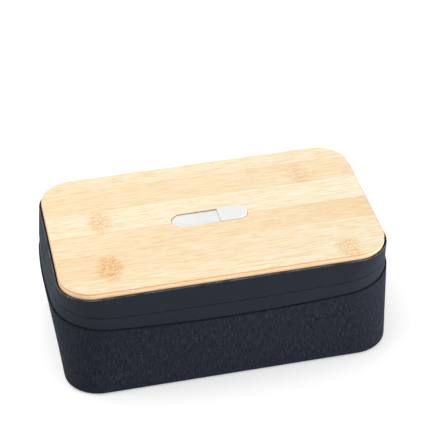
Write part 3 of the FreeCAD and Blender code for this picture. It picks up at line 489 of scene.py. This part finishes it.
def foot_outline(inset):
    """Straight sides and round corners, counterclockwise from the front end of the right side."""
    reach = FOOT_HALF_LENGTH - inset
    depth = FOOT_HALF_WIDTH - inset
    radius = FOOT_CORNER_RADIUS - inset
    right = reach - radius
    up = depth - radius
    quarter = math.pi / 2
    corners = ((right, up), (-right, up), (-right, -up), (right, -up))
    sides = (((reach, -up), (reach, up)), ((right, depth), (-right, depth)),
             ((-reach, up), (-reach, -up)), ((-right, -depth), (right, -depth)))
    points = []
    for turn, (corner, side) in enumerate(zip(corners, sides)):
        points += line_points(*side, LONG_STEPS if turn % 2 else SHORT_STEPS)
        points += arc_points(corner, radius, turn * quarter, (turn + 1) * quarter, CORNER_STEPS)
    return points


def rim_outline(inset):
    """Bowed sides and corners that run into them, with the same steps as the foot."""
    radius = RIM_CORNER_RADIUS - inset
    long_bow = RIM_LONG_BOW - inset
    short_bow = RIM_SHORT_BOW - inset
    end_centre = Vector((RIM_HALF_LENGTH - inset - short_bow, 0))
    side_centre = Vector((0, RIM_HALF_WIDTH - inset - long_bow))
    # the corner's centre lies where two circles round the centres of the bows cross
    to_end = short_bow - radius
    to_side = long_bow - radius
    span = side_centre - end_centre
    apart = span.length
    along = (to_end ** 2 - to_side ** 2 + apart ** 2) / (2 * apart)
    aside = math.sqrt(to_end ** 2 - along ** 2)
    span.normalize()
    corner = end_centre + span * along + Vector((-span.y, span.x)) * aside
    first = math.atan2(corner.y, corner.x - end_centre.x)
    second = math.atan2(corner.y - side_centre.y, corner.x)
    half_turn = math.pi
    turn = math.tau
    right, up = corner
    points = arc_points((end_centre.x, 0), short_bow, -first, first, SHORT_STEPS)
    points += arc_points((right, up), radius, first, second, CORNER_STEPS)
    points += arc_points((0, side_centre.y), long_bow, second, half_turn - second, LONG_STEPS)
    points += arc_points((-right, up), radius, half_turn - second, half_turn - first, CORNER_STEPS)
    points += arc_points((-end_centre.x, 0), short_bow, half_turn - first, half_turn + first, SHORT_STEPS)
    points += arc_points((-right, -up), radius, half_turn + first, half_turn + second, CORNER_STEPS)
    points += arc_points((0, -side_centre.y), long_bow, half_turn + second, turn - second, LONG_STEPS)
    points += arc_points((right, -up), radius, turn - second, turn - first, CORNER_STEPS)
    return points


def sleeve_profile():
    """Steps of the profile: share of the way from foot to rim, inset and height."""
    steps = []
    half = SLEEVE_THICKNESS / 2
    wall_foot = SLEEVE_BOTTOM + SLEEVE_EDGE_ROUND
    wall_top = SLEEVE_TOP - half
    span = SLEEVE_TOP - wall_foot

    def wall(inset, upward):
        rows = []
        for index in range(WALL_ROWS + 1):
            height = wall_foot + (wall_top - wall_foot) * index / WALL_ROWS
            rows.append(((height - wall_foot) / span, inset, height))
        return rows if upward else rows[::-1]

    def lower_round(radius, depth, inward):
        rows = []
        for index in range(1, ROUND_ROWS):
            angle = math.pi / 2 * index / ROUND_ROWS
            inset = depth + radius * (1 - math.cos(angle))
            rows.append((0.0, inset, wall_foot - radius * math.sin(angle)))
        return rows if inward else rows[::-1]

    steps += wall(0.0, upward=False)
    steps += lower_round(SLEEVE_EDGE_ROUND, 0.0, inward=True)
    inner_round = SLEEVE_EDGE_ROUND - SLEEVE_THICKNESS
    for index in range(HEM_ROWS + 1):
        inset = SLEEVE_EDGE_ROUND + (HEM_WIDTH - SLEEVE_EDGE_ROUND) * index / HEM_ROWS
        steps.append((0.0, inset, SLEEVE_BOTTOM))
    for index in range(HEM_ROWS + 1):
        inset = HEM_WIDTH - (HEM_WIDTH - SLEEVE_EDGE_ROUND) * index / HEM_ROWS
        steps.append((0.0, inset, SLEEVE_BOTTOM + SLEEVE_THICKNESS))
    steps += lower_round(inner_round, SLEEVE_THICKNESS, inward=False)
    steps += wall(SLEEVE_THICKNESS, upward=True)
    for index in range(1, TOP_ROWS):
        angle = math.pi * index / TOP_ROWS
        steps.append((1.0, half + half * math.cos(angle), wall_top + half * math.sin(angle)))
    return steps


def seam_lift(point):
    """How far the lapped seam at the middle of the back lifts the cloth."""
    if point.y < 0 or abs(point.x) > SEAM_HALF_WIDTH:
        return 0.0
    swell = (1 + math.cos(math.pi * point.x / SEAM_HALF_WIDTH)) / 2
    return SEAM_RISE * swell * (1.0 if point.x > 0 else SEAM_UNDER_SHARE)


def sleeve_rings():
    """One closed ring of points for each step of the profile."""
    rings = []
    for share, inset, height in sleeve_profile():
        ring = []
        for low, high in zip(foot_outline(inset), rim_outline(inset)):
            flat = low.lerp(high, share)
            outward = flat.normalized() * seam_lift(flat) if inset == 0.0 else Vector((0, 0))
            ring.append(Vector((*(flat + outward), height)))
        rings.append(ring)
    return rings


def running_lengths(points):
    """Lengths along a closed line, from its first point round to the same point."""
    lengths = [0.0]
    for point, following in zip(points, points[1:] + points[:1]):
        lengths.append(lengths[-1] + (following - point).length)
    return lengths


def make_piece(name, vertices, faces, material):
    mesh = bpy.data.meshes.new(name)
    mesh.from_pydata(vertices, [], faces)
    for polygon in mesh.polygons:
        polygon.use_smooth = True
    mesh.materials.append(material)
    piece = bpy.data.objects.new(name, mesh)
    bpy.context.collection.objects.link(piece)
    return piece


def make_sleeve():
    rings = sleeve_rings()
    count = len(rings[0])
    vertices = [point for ring in rings for point in ring]
    faces = []
    for row in range(len(rings)):
        here = row * count
        below = (row + 1) % len(rings) * count
        for column in range(count):
            following = (column + 1) % count
            faces.append((here + column, below + column, below + following, here + following))
    piece = make_piece("sleeve_cloth", vertices, faces, FINISHES["charcoal_cloth"])
    # lengths along the cloth serve as its texture place
    across = running_lengths(rings[0])
    down = running_lengths([ring[0] for ring in rings])
    layer = piece.data.uv_layers.new(name="cloth")
    for index, face in enumerate(faces):
        row, column = divmod(index, count)
        places = ((column, row), (column, row + 1), (column + 1, row + 1), (column + 1, row))
        for corner, (step, drop) in enumerate(places):
            layer.data[index * len(face) + corner].uv = (across[step], down[drop])
    return piece, across[-1]


sleeve, sleeve_girth = make_sleeve()
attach(sleeve, "base")
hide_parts("fabric_sleeve")


# Stitches along the seam at the back

STITCH_SIDES = 8
STITCH_RINGS = 5


def stitch_points(depth, height):
    """Rings of points round one stitch, which is fullest at its middle."""
    points = []
    for ring in range(STITCH_RINGS):
        along = ring / (STITCH_RINGS - 1) - 1 / 2
        swell = math.sqrt(max(0.0, 1 - (2 * along) ** 2))
        radius = STITCH_RADIUS * (STITCH_END_SHARE + (1 - STITCH_END_SHARE) * swell)
        rise = SEAM_RISE * STITCH_RISE_SHARE * swell
        middle = Vector((STITCH_OFFSET, depth + rise, height + along * STITCH_LENGTH))
        for side in range(STITCH_SIDES):
            angle = math.tau * side / STITCH_SIDES
            points.append(middle + Vector((radius * math.cos(angle), radius * math.sin(angle), 0)))
    return points


def stitch_faces(first):
    """Faces of one stitch, from the number of its first point."""
    faces = []
    for ring in range(STITCH_RINGS - 1):
        low = first + ring * STITCH_SIDES
        high = low + STITCH_SIDES
        for side in range(STITCH_SIDES):
            following = (side + 1) % STITCH_SIDES
            faces.append((low + side, low + following, high + following, high + side))
    last = first + (STITCH_RINGS - 1) * STITCH_SIDES
    faces.append(tuple(range(first, first + STITCH_SIDES))[::-1])
    faces.append(tuple(range(last, last + STITCH_SIDES)))
    return faces


def make_stitches():
    vertices = []
    faces = []
    wall_foot = SLEEVE_BOTTOM + SLEEVE_EDGE_ROUND
    height = wall_foot + STITCH_PITCH
    while height < SLEEVE_TOP - STITCH_PITCH:
        share = (height - wall_foot) / (SLEEVE_TOP - wall_foot)
        depth = FOOT_HALF_WIDTH + (RIM_HALF_WIDTH - FOOT_HALF_WIDTH) * share
        faces += stitch_faces(len(vertices))
        vertices += stitch_points(depth, height)
        height += STITCH_PITCH
    thread = moulding("stitch_thread", (0.02, 0.02, 0.026), 0.8, THREAD_GRAIN, 0.2, 0.4)
    return make_piece("seam_stitches", vertices, faces, thread.material)


stitches = make_stitches()
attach(stitches, "base")


# Floor, light and camera, in metres

FLOOR_HALF = 6.0
FLOOR_MOTTLE = 0.4
FLOOR_GLOW = 0.31
SKY_LEVEL = 0.70
LIGHT_AIM = (0.0, 0.0, 0.05)
# name, place, width and height of each softbox, and its power in watts
SOFTBOXES = (
    ("key", (-0.5, 0.4, 1.5), 1.4, 1.4, 5.1),
    ("left", (-1.2, -0.1, 0.5), 0.8, 0.8, 4.2),
    ("right", (1.5, -0.8, 0.2), 0.5, 0.3, 25.0),
    ("front", (-0.3, -1.6, 0.35), 1.0, 0.5, 0.8),
    ("back", (-0.2, 1.6, 1.2), 1.6, 0.7, 5.6),
)
VIEW_AIM = (15.75 * MM, 60.1 * MM, 45.0 * MM)
VIEW_DISTANCE = 1250.0 * MM
VIEW_AZIMUTH = math.radians(-10.958)
VIEW_ELEVATION = math.radians(35.530)
VIEW_ROLL = math.radians(-1.824)
# the camera takes its lens and sensor in millimetres
LENS = 137.83
SENSOR = 36.0


def make_floor():
    """Pale floor that the camera, mirrors and panes see a little whiter, with the shadow kept."""
    half = FLOOR_HALF
    corners = [(-half, -half, 0), (half, -half, 0), (half, half, 0), (-half, half, 0)]
    mesh = bpy.data.meshes.new("floor")
    mesh.from_pydata(corners, [], [(0, 1, 2, 3)])
    graph = Graph("floor")
    soft = graph.noise(graph.scaled(graph.place(), (FLOOR_MOTTLE, FLOOR_MOTTLE, FLOOR_MOTTLE)), 2.0)
    graph.set(Base_Color=graph.ramp(soft, ((0.3, (0.90, 0.90, 0.90)), (0.7, (0.92, 0.92, 0.92)))))
    graph.set(Roughness=0.9, Specular_IOR_Level=0.1)
    path = graph.node("LightPath").outputs
    seen = graph.math("MAXIMUM", path["Is Camera Ray"], path["Is Glossy Ray"])
    seen = graph.math("MAXIMUM", seen, path["Is Transmission Ray"])
    graph.set(Emission_Color=rgba(1, 1, 1), Emission_Strength=graph.math("MULTIPLY", seen, FLOOR_GLOW))
    mesh.materials.append(graph.material)
    floor = bpy.data.objects.new("floor", mesh)
    bpy.context.collection.objects.link(floor)


def make_world():
    """White to the camera, mirrors and panes, an even grey sky for everything else."""
    world = bpy.data.worlds.new("studio")
    bpy.context.scene.world = world
    world.use_nodes = True
    tree = world.node_tree
    sky = tree.nodes["Background"]
    path = tree.nodes.new("ShaderNodeLightPath")
    strength = None
    for ray in ("Is Glossy Ray", "Is Transmission Ray", "Is Camera Ray"):
        # its factor and numbers are inputs 0, 2 and 3
        choice = tree.nodes.new("ShaderNodeMix")
        tree.links.new(path.outputs[ray], choice.inputs[0])
        if strength is None:
            choice.inputs[2].default_value = SKY_LEVEL
        else:
            tree.links.new(strength, choice.inputs[2])
        choice.inputs[3].default_value = 1.0
        strength = choice.outputs[0]
    tree.links.new(strength, sky.inputs["Strength"])
    sky.inputs["Color"].default_value = rgba(1, 1, 1)


def make_softbox(name, place, width, height, power):
    lamp = bpy.data.lights.new(name, "AREA")
    lamp.shape = "RECTANGLE"
    lamp.size = width
    lamp.size_y = height
    lamp.energy = power
    box = bpy.data.objects.new(name, lamp)
    box.location = place
    facing = Vector(LIGHT_AIM) - Vector(place)
    box.rotation_euler = facing.to_track_quat("-Z", "Y").to_euler()
    bpy.context.collection.objects.link(box)


def make_camera():
    eye = bpy.data.cameras.new("camera")
    eye.lens = LENS
    eye.sensor_width = SENSOR
    camera = bpy.data.objects.new("camera", eye)
    turned = Matrix.Rotation(VIEW_AZIMUTH, 4, "Z")
    turned @= Matrix.Rotation(math.pi / 2 - VIEW_ELEVATION, 4, "X")
    turned @= Matrix.Rotation(VIEW_ROLL, 4, "Z")
    camera.matrix_world = Matrix.Translation(VIEW_AIM) @ turned @ Matrix.Translation((0, 0, VIEW_DISTANCE))
    bpy.context.collection.objects.link(camera)
    bpy.context.scene.camera = camera


make_floor()
make_world()
for softbox in SOFTBOXES:
    make_softbox(*softbox)
make_camera()
bpy.context.scene.view_settings.view_transform = "Standard"
